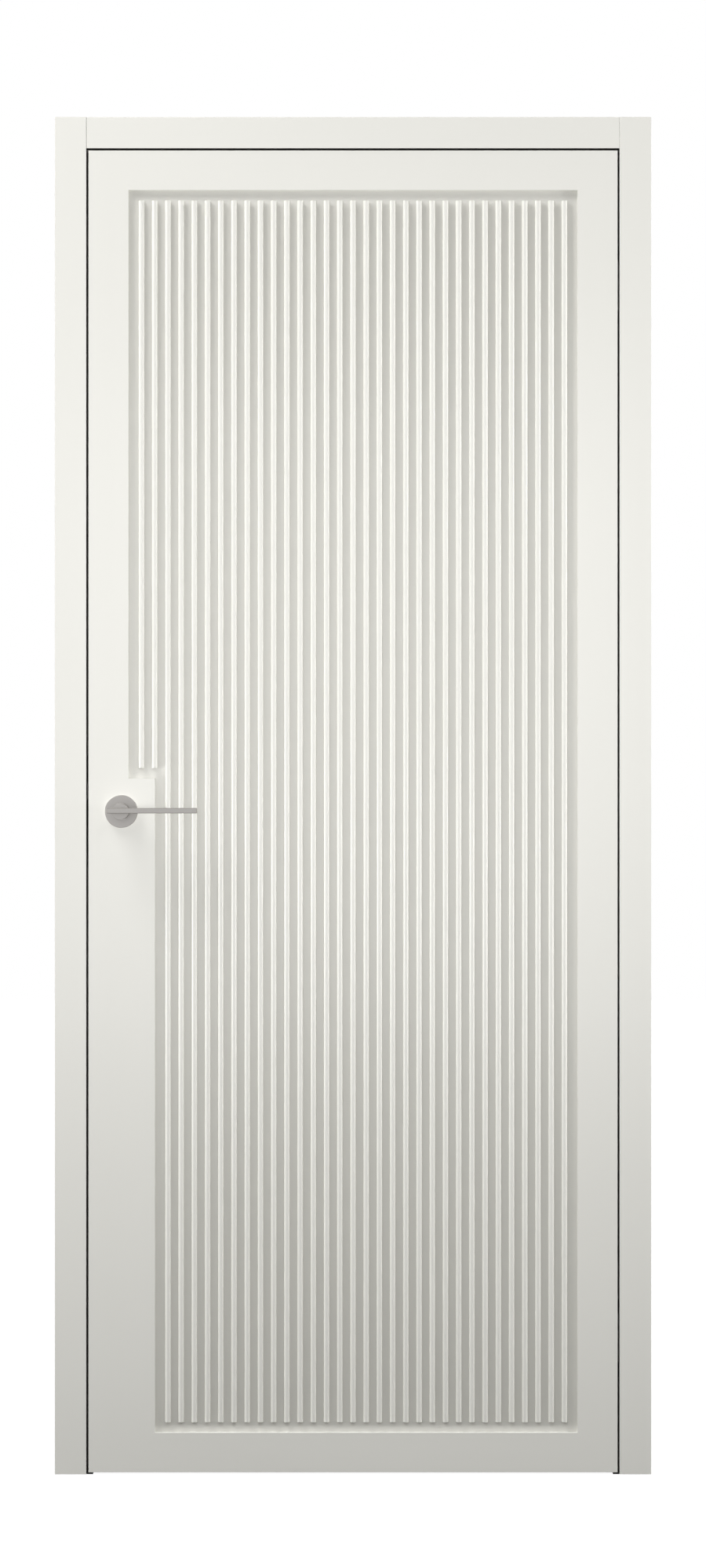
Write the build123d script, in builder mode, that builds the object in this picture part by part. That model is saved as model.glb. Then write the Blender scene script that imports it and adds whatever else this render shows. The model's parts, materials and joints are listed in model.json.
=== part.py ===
from build123d import *
import math
import os

# An interior door in its frame: flush leaf with a stepped, ribbed panel, concealed hinges and a slim lever.
# X runs along the wall towards the hinges, Y runs through the wall away from the ribbed front, Z is up.
# The origin is on the floor, on the outer face of the hinge-side jamb, at the middle of its depth.

# Leaf
leaf_width = 800.0
leaf_height = 2000.0
skin_thick = 12.0
core_thick = 16.0
floor_gap = 3.0
leaf_gap = 3.0

# Milled panel
stile_width = 60.5
rail_height = 60.0
recess_depth = 8.0
rib_width = 8.4
rib_pitch = 20.0
rib_side_margin = 15.0
rib_end_margin = 15.5
rib_crown_radius = 4.1
rib_crown_flats = 3
short_ribs = 2
step_above_handle = 50.0

# Frame
jamb_thick = 40.0
jamb_depth = 100.0
casing_thick = 12.0
casing_cover = 8.0
casing_edge_radius = 1.0
stop_width = 10.0
seal_width = 9.7
seal_depth = 5.7
seal_edge_radius = 2.4
seal_clearance = 0.3

# Concealed hinges
hinge_end_distance = 200.0
hinge_case_height = 120.0
hinge_case_width = 25.0
hinge_case_depth = 31.0
hinge_case_edge = 0.5
hinge_axis_proud = 1.0
arm_inner_radius = 30.0
arm_width = 5.0
arm_half_angle = 60.0
arm_height = 20.0
arm_space = 8.0
arm_count = 3
arm_clearance = 0.3
arm_end_angle = 1.0
hinge_pin_radius = 1.9

# Latch and strike
handle_height = 1000.0
backset = 50.0
forend_height = 170.0
forend_width = 18.0
forend_thick = 3.0
lock_case_height = 120.0
lock_case_thick = 14.0
lock_case_behind_axis = 25.0
bolt_height = 20.0
bolt_width = 10.0
bolt_length = 20.0
bolt_above_axis = 30.0
strike_width = 15.0
strike_thick = 2.5
keep_clearance = 1.5
keep_depth = 16.0

# Lever handle
rose_radius = 24.7
rose_thick = 8.0
rose_bevel = 1.2
neck_radius = 12.4
neck_length = 38.0
neck_clearance = 0.3
lever_tip = 116.0
lever_heel = 19.0
lever_height = 8.0
lever_rise = 1.5
lever_thick = 16.0
lever_edge = 0.6
spindle_side = 8.0
spindle_clearance = 0.35
spindle_hold = 20.0
spindle_hole_radius = 11.0

# Places across the wall opening
hinge_rebate_x = -jamb_thick
leaf_hinge_x = hinge_rebate_x - leaf_gap
leaf_latch_x = leaf_hinge_x - leaf_width
latch_rebate_x = leaf_latch_x - leaf_gap
latch_outer_x = latch_rebate_x - jamb_thick
leaf_mid_x = (leaf_hinge_x + leaf_latch_x) / 2
handle_x = leaf_latch_x + backset

# Places through the wall
leaf_thick = 2 * skin_thick + core_thick
jamb_front_y = -jamb_depth / 2
jamb_back_y = jamb_depth / 2
leaf_front_y = jamb_front_y - casing_thick
core_front_y = leaf_front_y + skin_thick
core_back_y = core_front_y + core_thick
leaf_back_y = leaf_front_y + leaf_thick
leaf_mid_y = (leaf_front_y + leaf_back_y) / 2
stop_front_y = leaf_back_y + seal_clearance + seal_depth

# Heights
leaf_bottom_z = floor_gap
leaf_top_z = leaf_bottom_z + leaf_height
head_rebate_z = leaf_top_z + leaf_gap
head_outer_z = head_rebate_z + jamb_thick
casing_top_z = head_outer_z + casing_cover
handle_z = leaf_bottom_z + handle_height
hinge_heights = {
    "upper": leaf_top_z - hinge_end_distance,
    "lower": leaf_bottom_z + hinge_end_distance,
}

# Milled panel, worked out
recess_left_x = leaf_latch_x + stile_width
recess_right_x = leaf_hinge_x - stile_width
recess_bottom_z = leaf_bottom_z + rail_height
recess_top_z = leaf_top_z - rail_height
step_x = recess_left_x + short_ribs * rib_pitch
step_z = handle_z + step_above_handle
rib_room = recess_right_x - recess_left_x - 2 * rib_side_margin - rib_width
rib_count = int(rib_room / rib_pitch + 0.001) + 1
rib_places = [leaf_mid_x + (k - (rib_count - 1) / 2) * rib_pitch for k in range(rib_count)]
rib_top_z = recess_top_z - rib_end_margin

# Hinges, worked out
axis_x = hinge_rebate_x - leaf_gap / 2
axis_y = leaf_front_y - hinge_axis_proud
hinge_case_y = jamb_front_y + hinge_case_edge + hinge_case_width / 2
arm_outer_radius = arm_inner_radius + arm_width
arm_stack = arm_count * arm_height + (arm_count - 1) * arm_space

# Latch, worked out
forend_back_x = leaf_latch_x + forend_thick
lock_case_depth = backset - forend_thick + lock_case_behind_axis
bolt_z = handle_z + bolt_above_axis


def save(builder, name):
    """Label one finished piece and write it as STEP."""
    builder.part.label = name
    export_step(builder.part, os.path.join("parts", name + ".step"))


def plan(left, right, front, back):
    """A rectangle on the floor plan, between two X and two Y places."""
    with Locations(((left + right) / 2, (front + back) / 2)):
        Rectangle(right - left, back - front)


def elevation(left, right, bottom, top):
    """A rectangle seen from the front, between two X and two Z places."""
    with Locations(((left + right) / 2, (bottom + top) / 2)):
        Rectangle(right - left, top - bottom)


def wall_plane(y):
    """The front-facing plane at a place through the wall; extruding by a negative amount goes deeper."""
    return Plane.XZ.offset(-y)


def edge_plane(x):
    """The plane that faces the hinges at a place along the wall."""
    return Plane.YZ.offset(x)


def ring_sector(inner, outer, start, end):
    """A face between two arcs round the hinge axis, from one angle to another."""
    centre = (axis_x, axis_y)
    with BuildLine() as outline:
        far = CenterArc(centre, outer, start, end - start)
        near = CenterArc(centre, inner, start, end - start)
        Line(far @ 0, near @ 0)
        Line(far @ 1, near @ 1)
    make_face(outline.edges())


def cut_hinge_pockets(mouth_x, direction):
    """Cut the room for both hinge cases from a stile, skin or jamb."""
    with BuildSketch(edge_plane(mouth_x)) as pockets:
        with Locations(*[(hinge_case_y, height) for height in hinge_heights.values()]):
            SlotOverall(hinge_case_height, hinge_case_width, rotation=90)
    extrude(pockets.sketch, amount=direction * hinge_case_depth, mode=Mode.SUBTRACT)


def cut_lock_mortise():
    """Cut the room for the forend and the lock case from a stile or a skin."""
    with BuildSketch(edge_plane(leaf_latch_x)) as forend_room:
        with Locations((leaf_mid_y, handle_z)):
            SlotOverall(forend_height, forend_width, rotation=90)
    extrude(forend_room.sketch, amount=forend_thick, mode=Mode.SUBTRACT)
    with BuildSketch(edge_plane(forend_back_x)) as case_room:
        with Locations((leaf_mid_y, handle_z)):
            Rectangle(lock_case_thick, lock_case_height)
    extrude(case_room.sketch, amount=lock_case_depth, mode=Mode.SUBTRACT)


def cut_spindle_hole(front, back, radius):
    """Cut the round hole that the spindle turns in."""
    with BuildSketch(wall_plane(front)) as hole:
        with Locations((handle_x, handle_z)):
            Circle(radius)
    extrude(hole.sketch, amount=front - back, mode=Mode.SUBTRACT)


os.makedirs("parts", exist_ok=True)

# Side jambs: full-height boards, with pockets for the hinge cases on one and for the strike on the other
with BuildPart() as hinge_jamb:
    with BuildSketch(Plane.XY):
        plan(hinge_rebate_x, 0, jamb_front_y, jamb_back_y)
    extrude(amount=head_outer_z)
    cut_hinge_pockets(hinge_rebate_x, 1)
save(hinge_jamb, "hinge_jamb")

with BuildPart() as latch_jamb:
    with BuildSketch(Plane.XY):
        plan(latch_outer_x, latch_rebate_x, jamb_front_y, jamb_back_y)
    extrude(amount=head_outer_z)
    with BuildSketch(edge_plane(latch_rebate_x)):
        with Locations((leaf_mid_y, handle_z)):
            SlotOverall(forend_height, strike_width, rotation=90)
    extrude(amount=-strike_thick, mode=Mode.SUBTRACT)
    with BuildSketch(edge_plane(latch_rebate_x)):
        with Locations((leaf_mid_y, bolt_z)):
            Rectangle(bolt_width + 2 * keep_clearance, bolt_height + 2 * keep_clearance)
    extrude(amount=-keep_depth, mode=Mode.SUBTRACT)
save(latch_jamb, "latch_jamb")

# Head jamb: the board between the side jambs
with BuildPart() as head_jamb:
    with BuildSketch(Plane.XY.offset(head_rebate_z)):
        plan(latch_rebate_x, hinge_rebate_x, jamb_front_y, jamb_back_y)
    extrude(amount=jamb_thick)
save(head_jamb, "head_jamb")

# Stops: strips behind the leaf at both sides and the head
stop_sides = {
    "hinge_stop": (hinge_rebate_x - stop_width, hinge_rebate_x),
    "latch_stop": (latch_rebate_x, latch_rebate_x + stop_width),
}
for name, (left, right) in stop_sides.items():
    with BuildPart() as side_stop:
        with BuildSketch(Plane.XY):
            plan(left, right, stop_front_y, jamb_back_y)
        extrude(amount=head_rebate_z)
    save(side_stop, name)

with BuildPart() as head_stop:
    with BuildSketch(Plane.XY.offset(head_rebate_z - stop_width)):
        plan(latch_rebate_x + stop_width, hinge_rebate_x - stop_width, stop_front_y, jamb_back_y)
    extrude(amount=stop_width)
save(head_stop, "head_stop")

# Seals: rubber strips with a rounded front, seated in the corner of jamb and stop
seal_front_y = leaf_back_y + seal_clearance
seal_sides = {
    "hinge_seal": (hinge_rebate_x - seal_width, hinge_rebate_x),
    "latch_seal": (latch_rebate_x, latch_rebate_x + seal_width),
}
for name, (left, right) in seal_sides.items():
    with BuildPart() as side_seal:
        with BuildSketch(Plane.XY) as section:
            plan(left, right, seal_front_y, stop_front_y)
            fillet(section.vertices().group_by(Axis.Y)[0], seal_edge_radius)
        extrude(amount=head_rebate_z)
    save(side_seal, name)

with BuildPart() as head_seal:
    with BuildSketch(edge_plane(latch_rebate_x + seal_width)) as section:
        with Locations(((seal_front_y + stop_front_y) / 2, head_rebate_z - seal_width / 2)):
            Rectangle(seal_depth, seal_width)
        fillet(section.vertices().group_by(Axis.Y)[0], seal_edge_radius)
    extrude(amount=hinge_rebate_x - latch_rebate_x - 2 * seal_width)
save(head_seal, "head_seal")


def casing(name, outline, face_y, depth, inner_edges):
    """One flat casing board: a rectangle seen from the front, with softened edges on its show face."""
    with BuildPart() as board:
        with BuildSketch(wall_plane(face_y)):
            elevation(*outline)
        extrude(amount=-depth)
        show_face = board.faces().sort_by(Axis.Y)[0 if depth > 0 else -1]
        fillet(show_face.edges().filter_by(inner_edges), casing_edge_radius)
    save(board, name)


# Casings: side boards run full height and the head board fits between them, on both faces of the wall
back_face_y = jamb_back_y + casing_thick
casing_faces = {
    "front": (leaf_front_y, casing_thick, 0.0),
    "back": (back_face_y, -casing_thick, stop_width),
}
for face, (face_y, depth, overlap) in casing_faces.items():
    hinge_inner_x = hinge_rebate_x - overlap
    latch_inner_x = latch_rebate_x + overlap
    head_inner_z = head_rebate_z - overlap
    hinge_board = (hinge_inner_x, casing_cover, 0, casing_top_z)
    latch_board = (latch_outer_x - casing_cover, latch_inner_x, 0, casing_top_z)
    head_board = (latch_inner_x, hinge_inner_x, head_inner_z, casing_top_z)
    casing("hinge_casing_" + face, hinge_board, face_y, depth, Axis.Z)
    casing("latch_casing_" + face, latch_board, face_y, depth, Axis.Z)
    casing("head_casing_" + face, head_board, face_y, depth, Axis.X)

# Leaf frame: stiles run full height, rails fit between them, and a board fills the middle
lock_stile_x = step_x
hinge_stile_x = recess_right_x

with BuildPart() as leaf_hinge_stile:
    with BuildSketch(Plane.XY.offset(leaf_bottom_z)):
        plan(hinge_stile_x, leaf_hinge_x, core_front_y, core_back_y)
    extrude(amount=leaf_height)
    cut_hinge_pockets(leaf_hinge_x, -1)
save(leaf_hinge_stile, "leaf_hinge_stile")

with BuildPart() as leaf_lock_stile:
    with BuildSketch(Plane.XY.offset(leaf_bottom_z)):
        plan(leaf_latch_x, lock_stile_x, core_front_y, core_back_y)
    extrude(amount=leaf_height)
    cut_lock_mortise()
    cut_spindle_hole(core_front_y, core_back_y, spindle_hole_radius)
save(leaf_lock_stile, "leaf_lock_stile")

leaf_fillings = {
    "leaf_top_rail": (recess_top_z, leaf_top_z),
    "leaf_bottom_rail": (leaf_bottom_z, recess_bottom_z),
    "leaf_core": (recess_bottom_z, recess_top_z),
}
for name, (bottom, top) in leaf_fillings.items():
    with BuildPart() as filling:
        with BuildSketch(Plane.XY.offset(bottom)):
            plan(lock_stile_x, hinge_stile_x, core_front_y, core_back_y)
        extrude(amount=top - bottom)
    save(filling, name)


def rib_row(places, bottom):
    """Ribs that stand on the panel's floor, flush with the leaf's face and crowned by a few flats a side."""
    turns = [math.pi / 2 * k / rib_crown_flats for k in range(rib_crown_flats + 1)]
    crown = [
        (rib_width / 2 - rib_crown_radius * (1 - math.cos(t)), rib_crown_radius * (1 - math.sin(t)))
        for t in turns
    ]
    right_side = [(rib_width / 2, recess_depth)] + crown
    left_side = [(-x, y) for x, y in reversed(right_side)]
    with BuildSketch(Plane.XY.offset(bottom)) as profiles:
        with Locations(*[(x, leaf_front_y) for x in places]):
            Polygon(*right_side, *left_side, align=None)
    extrude(profiles.sketch, amount=rib_top_z - bottom)


# Skins: one board each, milled to a stepped recess with upright ribs left standing in it
with BuildPart() as leaf_front_skin:
    with BuildSketch(wall_plane(leaf_front_y)):
        elevation(leaf_latch_x, leaf_hinge_x, leaf_bottom_z, leaf_top_z)
    extrude(amount=-skin_thick)
    with BuildSketch(wall_plane(leaf_front_y)):
        with BuildLine():
            Polyline(
                (recess_left_x, recess_top_z),
                (recess_right_x, recess_top_z),
                (recess_right_x, recess_bottom_z),
                (step_x, recess_bottom_z),
                (step_x, step_z),
                (recess_left_x, step_z),
                close=True,
            )
        make_face()
    extrude(amount=-recess_depth, mode=Mode.SUBTRACT)
    rib_row(rib_places[:short_ribs], step_z + rib_end_margin)
    rib_row(rib_places[short_ribs:], recess_bottom_z + rib_end_margin)
    cut_lock_mortise()
    cut_spindle_hole(leaf_front_y, core_front_y, spindle_hole_radius)
save(leaf_front_skin, "leaf_front_skin")

with BuildPart() as leaf_back_skin:
    mirror(leaf_front_skin.part, about=wall_plane(leaf_mid_y))
    cut_hinge_pockets(leaf_hinge_x, -1)
save(leaf_back_skin, "leaf_back_skin")


def hinge_case(name, mouth_x, direction, height):
    """A housing let in flush with an edge, with the curved way that the hinge arms slide in."""
    with BuildPart() as case:
        with BuildSketch(edge_plane(mouth_x)):
            with Locations((hinge_case_y, height)):
                SlotOverall(hinge_case_height, hinge_case_width, rotation=90)
        extrude(amount=direction * hinge_case_depth)
        way_bottom = height - arm_stack / 2 - arm_clearance
        way_angle = arm_half_angle + arm_end_angle
        with BuildSketch(Plane.XY.offset(way_bottom)):
            ring_sector(
                arm_inner_radius - arm_clearance,
                arm_outer_radius + arm_clearance,
                90 if direction < 0 else 90 - way_angle,
                90 + way_angle if direction < 0 else 90,
            )
        extrude(amount=arm_stack + 2 * arm_clearance, mode=Mode.SUBTRACT)
    save(case, name)


def hinge_arms(name, height):
    """The stacked curved arms of one hinge and the pin that joins them."""
    with BuildPart() as arms:
        for k in range(arm_count):
            arm_bottom = height - arm_stack / 2 + k * (arm_height + arm_space)
            with BuildSketch(Plane.XY.offset(arm_bottom)):
                ring_sector(
                    arm_inner_radius, arm_outer_radius, 90 - arm_half_angle, 90 + arm_half_angle
                )
            extrude(amount=arm_height)
        with BuildSketch(Plane.XY.offset(height - arm_stack / 2)):
            with Locations((axis_x, axis_y + (arm_inner_radius + arm_outer_radius) / 2)):
                Circle(hinge_pin_radius)
        extrude(amount=arm_stack)
    save(arms, name)


for place, height in hinge_heights.items():
    hinge_case("hinge_case_frame_" + place, hinge_rebate_x, 1, height)
    hinge_case("hinge_case_leaf_" + place, leaf_hinge_x, -1, height)
    hinge_arms("hinge_arms_" + place, height)

# Latch: forend let into the leaf's edge, lock case behind it and the latch bolt drawn in
with BuildPart() as lock_forend:
    with BuildSketch(edge_plane(leaf_latch_x)):
        with Locations((leaf_mid_y, handle_z)):
            SlotOverall(forend_height, forend_width, rotation=90)
        with Locations((leaf_mid_y, bolt_z)):
            Rectangle(bolt_width, bolt_height, mode=Mode.SUBTRACT)
    extrude(amount=forend_thick)
save(lock_forend, "lock_forend")

with BuildPart() as lock_case:
    with BuildSketch(edge_plane(forend_back_x)):
        with Locations((leaf_mid_y, handle_z)):
            Rectangle(lock_case_thick, lock_case_height)
    extrude(amount=lock_case_depth)
    with BuildSketch(edge_plane(forend_back_x)):
        with Locations((leaf_mid_y, bolt_z)):
            Rectangle(bolt_width, bolt_height)
    extrude(amount=bolt_length - forend_thick, mode=Mode.SUBTRACT)
    cut_spindle_hole(
        core_front_y, core_back_y, spindle_side / math.sqrt(2) + spindle_clearance
    )
save(lock_case, "lock_case")

with BuildPart() as latch_bolt:
    with BuildSketch(edge_plane(leaf_latch_x)):
        with Locations((leaf_mid_y, bolt_z)):
            Rectangle(bolt_width, bolt_height)
    extrude(amount=bolt_length)
save(latch_bolt, "latch_bolt")

with BuildPart() as strike_plate:
    with BuildSketch(edge_plane(latch_rebate_x)):
        with Locations((leaf_mid_y, handle_z)):
            SlotOverall(forend_height, strike_width, rotation=90)
        with Locations((leaf_mid_y, bolt_z)):
            Rectangle(
                bolt_width + 2 * keep_clearance, bolt_height + 2 * keep_clearance, mode=Mode.SUBTRACT
            )
    extrude(amount=-strike_thick)
save(strike_plate, "strike_plate")


def handle_side(face, face_y, outward):
    """Rose, neck and lever on one face of the leaf."""
    with BuildPart() as rose:
        with BuildSketch(wall_plane(face_y)):
            with Locations((handle_x, handle_z)):
                Circle(rose_radius)
        extrude(amount=outward * rose_thick)
        rim = rose.faces().sort_by(Axis.Y)[0 if outward > 0 else -1]
        chamfer(rim.edges(), rose_bevel)
        with BuildSketch(wall_plane(face_y)):
            with Locations((handle_x, handle_z)):
                Circle(neck_radius + neck_clearance)
        extrude(amount=outward * rose_thick, mode=Mode.SUBTRACT)
    save(rose, "rose_" + face)

    neck_start_y = face_y - outward * neck_clearance
    neck_end_y = face_y - outward * neck_length
    with BuildPart() as neck:
        with BuildSketch(wall_plane(neck_start_y)):
            with Locations((handle_x, handle_z)):
                Circle(neck_radius)
        extrude(amount=outward * (neck_length - neck_clearance))
        with BuildSketch(wall_plane(neck_start_y)):
            with Locations((handle_x, handle_z)):
                Rectangle(spindle_side, spindle_side)
        extrude(amount=outward * spindle_hold, mode=Mode.SUBTRACT)
    save(neck, "neck_" + face)

    with BuildPart() as lever:
        with BuildSketch(wall_plane(neck_end_y)):
            elevation(
                handle_x - lever_heel,
                handle_x + lever_tip,
                handle_z + lever_rise - lever_height / 2,
                handle_z + lever_rise + lever_height / 2,
            )
        extrude(amount=outward * lever_thick)
        chamfer(lever.edges(), lever_edge)
    save(lever, "lever_" + face)


handle_side("front", leaf_front_y, 1)
handle_side("back", leaf_back_y, -1)

# Spindle: the square bar through the lock case that carries both levers
spindle_front_y = leaf_front_y - neck_clearance - spindle_hold
spindle_back_y = leaf_back_y + neck_clearance + spindle_hold
with BuildPart() as spindle:
    with BuildSketch(wall_plane(spindle_front_y)):
        with Locations((handle_x, handle_z)):
            Rectangle(spindle_side, spindle_side)
    extrude(amount=spindle_front_y - spindle_back_y)
save(spindle, "spindle")
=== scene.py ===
"""An interior door in its frame: a milled, ribbed leaf, flat casings and slim lever handles."""

import json
import math

import bmesh
import bpy
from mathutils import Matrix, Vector

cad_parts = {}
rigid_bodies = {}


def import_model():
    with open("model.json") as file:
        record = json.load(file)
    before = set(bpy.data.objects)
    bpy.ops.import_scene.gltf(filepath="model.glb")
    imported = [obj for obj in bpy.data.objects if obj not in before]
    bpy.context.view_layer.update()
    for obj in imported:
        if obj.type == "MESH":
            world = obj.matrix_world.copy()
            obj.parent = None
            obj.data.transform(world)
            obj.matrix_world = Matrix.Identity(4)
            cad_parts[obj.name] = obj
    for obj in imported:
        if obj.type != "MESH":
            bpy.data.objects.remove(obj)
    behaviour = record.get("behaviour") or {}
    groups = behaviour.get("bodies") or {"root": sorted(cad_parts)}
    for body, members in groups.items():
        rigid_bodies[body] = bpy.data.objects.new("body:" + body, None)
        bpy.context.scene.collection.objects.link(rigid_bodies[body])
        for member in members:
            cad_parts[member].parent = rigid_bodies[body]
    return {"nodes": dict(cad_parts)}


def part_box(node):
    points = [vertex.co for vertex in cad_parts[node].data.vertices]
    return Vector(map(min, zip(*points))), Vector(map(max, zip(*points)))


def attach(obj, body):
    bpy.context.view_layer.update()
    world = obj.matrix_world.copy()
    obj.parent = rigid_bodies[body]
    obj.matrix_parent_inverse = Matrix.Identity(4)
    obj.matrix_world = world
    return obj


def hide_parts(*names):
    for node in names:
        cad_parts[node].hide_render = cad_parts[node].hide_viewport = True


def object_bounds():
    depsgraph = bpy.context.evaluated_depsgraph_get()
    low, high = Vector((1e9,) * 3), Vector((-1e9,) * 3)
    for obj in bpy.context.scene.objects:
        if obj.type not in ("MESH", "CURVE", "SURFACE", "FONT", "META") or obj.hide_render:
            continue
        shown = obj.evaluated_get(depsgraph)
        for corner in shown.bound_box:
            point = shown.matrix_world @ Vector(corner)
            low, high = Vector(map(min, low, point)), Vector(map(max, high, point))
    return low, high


bl_info = {
    "name": "Ribbed Interior Door",
    "version": (1, 0, 0),
    "blender": (4, 5, 0),
    "location": "View3D > Sidebar > Door",
    "description": "Dresses a door frame and leaf with boards, ribs, seals, handles and a studio",
    "category": "Object",
}

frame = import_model()
CAD_LOW, CAD_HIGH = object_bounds()
MM = 0.001

# Places read from the frame
SKIN_LOW, SKIN_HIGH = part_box("leaf_front_skin")
BACK_LOW, BACK_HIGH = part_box("leaf_back_skin")
ROSE_LOW, ROSE_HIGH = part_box("rose_front")
HANDLE_X = (ROSE_LOW.x + ROSE_HIGH.x) / 2
HANDLE_Z = (ROSE_LOW.z + ROSE_HIGH.z) / 2
DOOR_MID_X = (CAD_LOW.x + CAD_HIGH.x) / 2
HINGE_PLACES = ("upper", "lower")

# How near points are merged, the digits that tell corners apart in metres, and the angles
# from which edges stay sharp or are bevelled
MERGE_SPAN = 0.001 * MM
CORNER_DIGITS = 6
SHARP_ANGLE = math.radians(35)
BEVEL_ANGLE = math.radians(40)

# Fits: a cutter's reach past the board's face, play round a neck, an edge's reach to a joint
POCKET_PROUD = 0.5 * MM
BORE_PLAY = 0.3 * MM
JOINT_SPAN = 0.1 * MM
# What still counts as one more rib, and as a face that looks straight one way
RIB_SLACK = 0.001
STRAIGHT = 0.9

# Points round a rib's crown and round a seal's corners
CROWN_POINTS = 7
SEAL_POINTS = 6

# Screws in a plate, the sides of a head, and its foot, cross and fit as parts of its radius
SCREWS = 2
SCREW_SIDES = 32
SCREW_FOOT = 0.55
CROSS_LENGTH = 1.15
CROSS_WIDTH = 0.24
HEAD_FIT = 0.94
# How deep the cutter and the head are set, as parts of the countersink's depth
CUTTER_DEPTH = -0.97
HEAD_DEPTH = -0.96

# The seal's two parts: width, depth, shift towards the stop and corner radius, as shares
SEAL_PARTS = ((1.0, 0.3, 0.35, 0.04), (0.88, 0.8, -0.1, 0.4))

# Steps round the turned parts, the neck's core, and which faces count as their rounded rim, which
# gets painted shade
ROSE_TURNS = 96
NECK_TURNS = 64
NECK_CORE = 0.1
RIM_STEPS = 5
RIM_SLOPE = (0.1, 0.95)

# The floor's half width, where the door's shadow shows on it, and how white it is there
FLOOR_HALF = 12.0
SHADOW_NEAR = 0.6
SHADOW_FAR = 2.2
SHADOW_COVER = 0.9
FLOOR_WHITE = 1.06
# Strength of the light from all round
SKY_LEVEL = 0.28

FRONT_AIM = (DOOR_MID_X, SKIN_LOW.y, 1.2)
BACK_AIM = (DOOR_MID_X, CAD_HIGH.y, 1.1)
LAMPS = (
    # name, place, aim, side, watts, whether it lights the nickel and is shaded by it
    ("front_fill", (-0.443, -1.25, 1.2), FRONT_AIM, 1.2, 7.0, False, False),
    ("key_high_left", (-2.743, -1.062, 3.5), FRONT_AIM, 1.3, 42.5, True, True),
    ("key_high_right", (1.857, -1.062, 3.5), FRONT_AIM, 1.3, 30.6, True, False),
    ("top_left", (-1.643, -0.862, 3.6), FRONT_AIM, 0.8, 23.5, True, True),
    ("low_left", (-2.743, -0.662, 0.8), FRONT_AIM, 0.6, 24.7, True, False),
    ("graze_right", (1.857, -0.562, 1.8), FRONT_AIM, 0.6, 14.2, True, False),
    ("low_right", (1.857, -0.662, 0.8), FRONT_AIM, 0.6, 17.1, True, False),
    ("back_left", (-1.9, 2.6, 2.6), BACK_AIM, 1.2, 56.0, True, True),
    ("back_right", (0.6, 2.9, 2.0), BACK_AIM, 1.2, 42.0, True, True),
)


def length_setting(name, text, millimetres):
    """One length that a user may change, given in millimetres."""
    return bpy.props.FloatProperty(
        name=name, description=text, default=millimetres * MM, min=0.0, unit="LENGTH", precision=4
    )


def colour_setting(name, text, code):
    """One sRGB colour as a hex code."""
    return bpy.props.StringProperty(name=name, description=text, default=code)


class DoorPanelSettings(bpy.types.PropertyGroup):
    """Sizes of the milled panel on each face of the leaf."""

    stile: length_setting("Stile", "Plain border at the sides of the recess", 60.5)
    rail: length_setting("Rail", "Plain border above and below the recess", 60.0)
    depth: length_setting("Recess depth", "How deep the recess is milled", 8.0)
    rib_width: length_setting("Rib width", "Width of one rib", 8.4)
    rib_pitch: length_setting("Rib pitch", "Distance from rib to rib", 20.0)
    rib_side_margin: length_setting("Side margin", "Least floor left free beside the ribs", 15.0)
    rib_end_margin: length_setting("End margin", "Floor left free above and below the ribs", 15.5)
    rib_round: length_setting("Rib rounding", "Radius of the ribs' crown", 4.1)
    rib_root: length_setting("Rib root", "How far a rib reaches into the floor", 1.0)
    step_rise: length_setting("Step rise", "Height of the step above the handle's axis", 50.0)
    arris: length_setting("Arris", "Softening of the milled edges", 0.3)
    short_ribs: bpy.props.IntProperty(
        name="Short ribs", description="Ribs that end above the step", default=2, min=0
    )


class DoorBoardSettings(bpy.types.PropertyGroup):
    """Softened edges of the frame's boards, and the seal's bends and feet."""

    casing_arris: length_setting("Casing arris", "Rounding of the casings' edges", 0.3)
    joint_arris: length_setting("Joint arris", "Easing of the casings' butt joints", 0.9)
    lining_arris: length_setting("Lining arris", "Rounding of the stops' edges", 1.2)
    seal_bend: length_setting("Seal bend", "How the seal rounds the frame's corners", 12.0)
    seal_foot: length_setting("Seal foot", "Height of the seal's feet under the leaf", 2.5)
    seal_foot_inset: length_setting("Foot inset", "From the leaf's face to the feet", 1.5)


class DoorHandleSettings(bpy.types.PropertyGroup):
    """Small forms of the lever handles."""

    rose_edge: length_setting("Rose edge", "Rounding of the rose's face", 0.7)
    lever_edge: length_setting("Lever edge", "Softening of the lever's edges", 0.8)
    neck_fillet: length_setting("Neck edge", "Softening of the neck's end", 0.4)


class DoorScrewSettings(bpy.types.PropertyGroup):
    """Screws that hold the hinges, the latch and the strike."""

    case_radius: length_setting("Hinge screw", "Radius of the hinge screws' heads", 4.2)
    plate_radius: length_setting("Plate screw", "Radius of the plates' screw heads", 3.6)
    sink: length_setting("Sink", "Depth of the countersinks", 2.2)
    end_inset: length_setting("Inset", "From the plates' ends to their screws", 10.5)


class DoorColourSettings(bpy.types.PropertyGroup):
    """Colours of the door's finishes."""

    lacquer: colour_setting("Lacquer", "Off-white satin lacquer", "#E4E3DD")
    seal: colour_setting("Seal", "Black door seal", "#121211")
    # Painted shade: black for the casings' inner edges, so the gap round the leaf reads dark
    gap: colour_setting("Gap", "Black edges round the leaf", "#141413")
    nickel: colour_setting("Nickel", "Satin nickel of the handles", "#AEABA8")
    # Painted shade: a darker nickel for the handles' rounded rims and bevelled edges
    nickel_edge: colour_setting("Nickel edge", "Edges of the handles, a shade darker", "#8A8782")
    zinc: colour_setting("Zinc", "Die-cast zinc of the hinges", "#A9A9A6")
    floor: colour_setting("Floor", "Studio floor as it throws light back", "#5C5C5A")
    floor_seen: colour_setting("Floor seen", "Studio floor as the camera sees it", "#ECECEA")


class DoorViewSettings(bpy.types.PropertyGroup):
    """Where the camera stands and how much it frames."""

    distance: length_setting("Distance", "From the leaf's face to the camera", 5500.0)
    eye_height: length_setting("Eye height", "Height of the camera above the floor", 1044.5)
    picture_height: length_setting("Picture height", "Height framed at the leaf's face", 2372.4)


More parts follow.
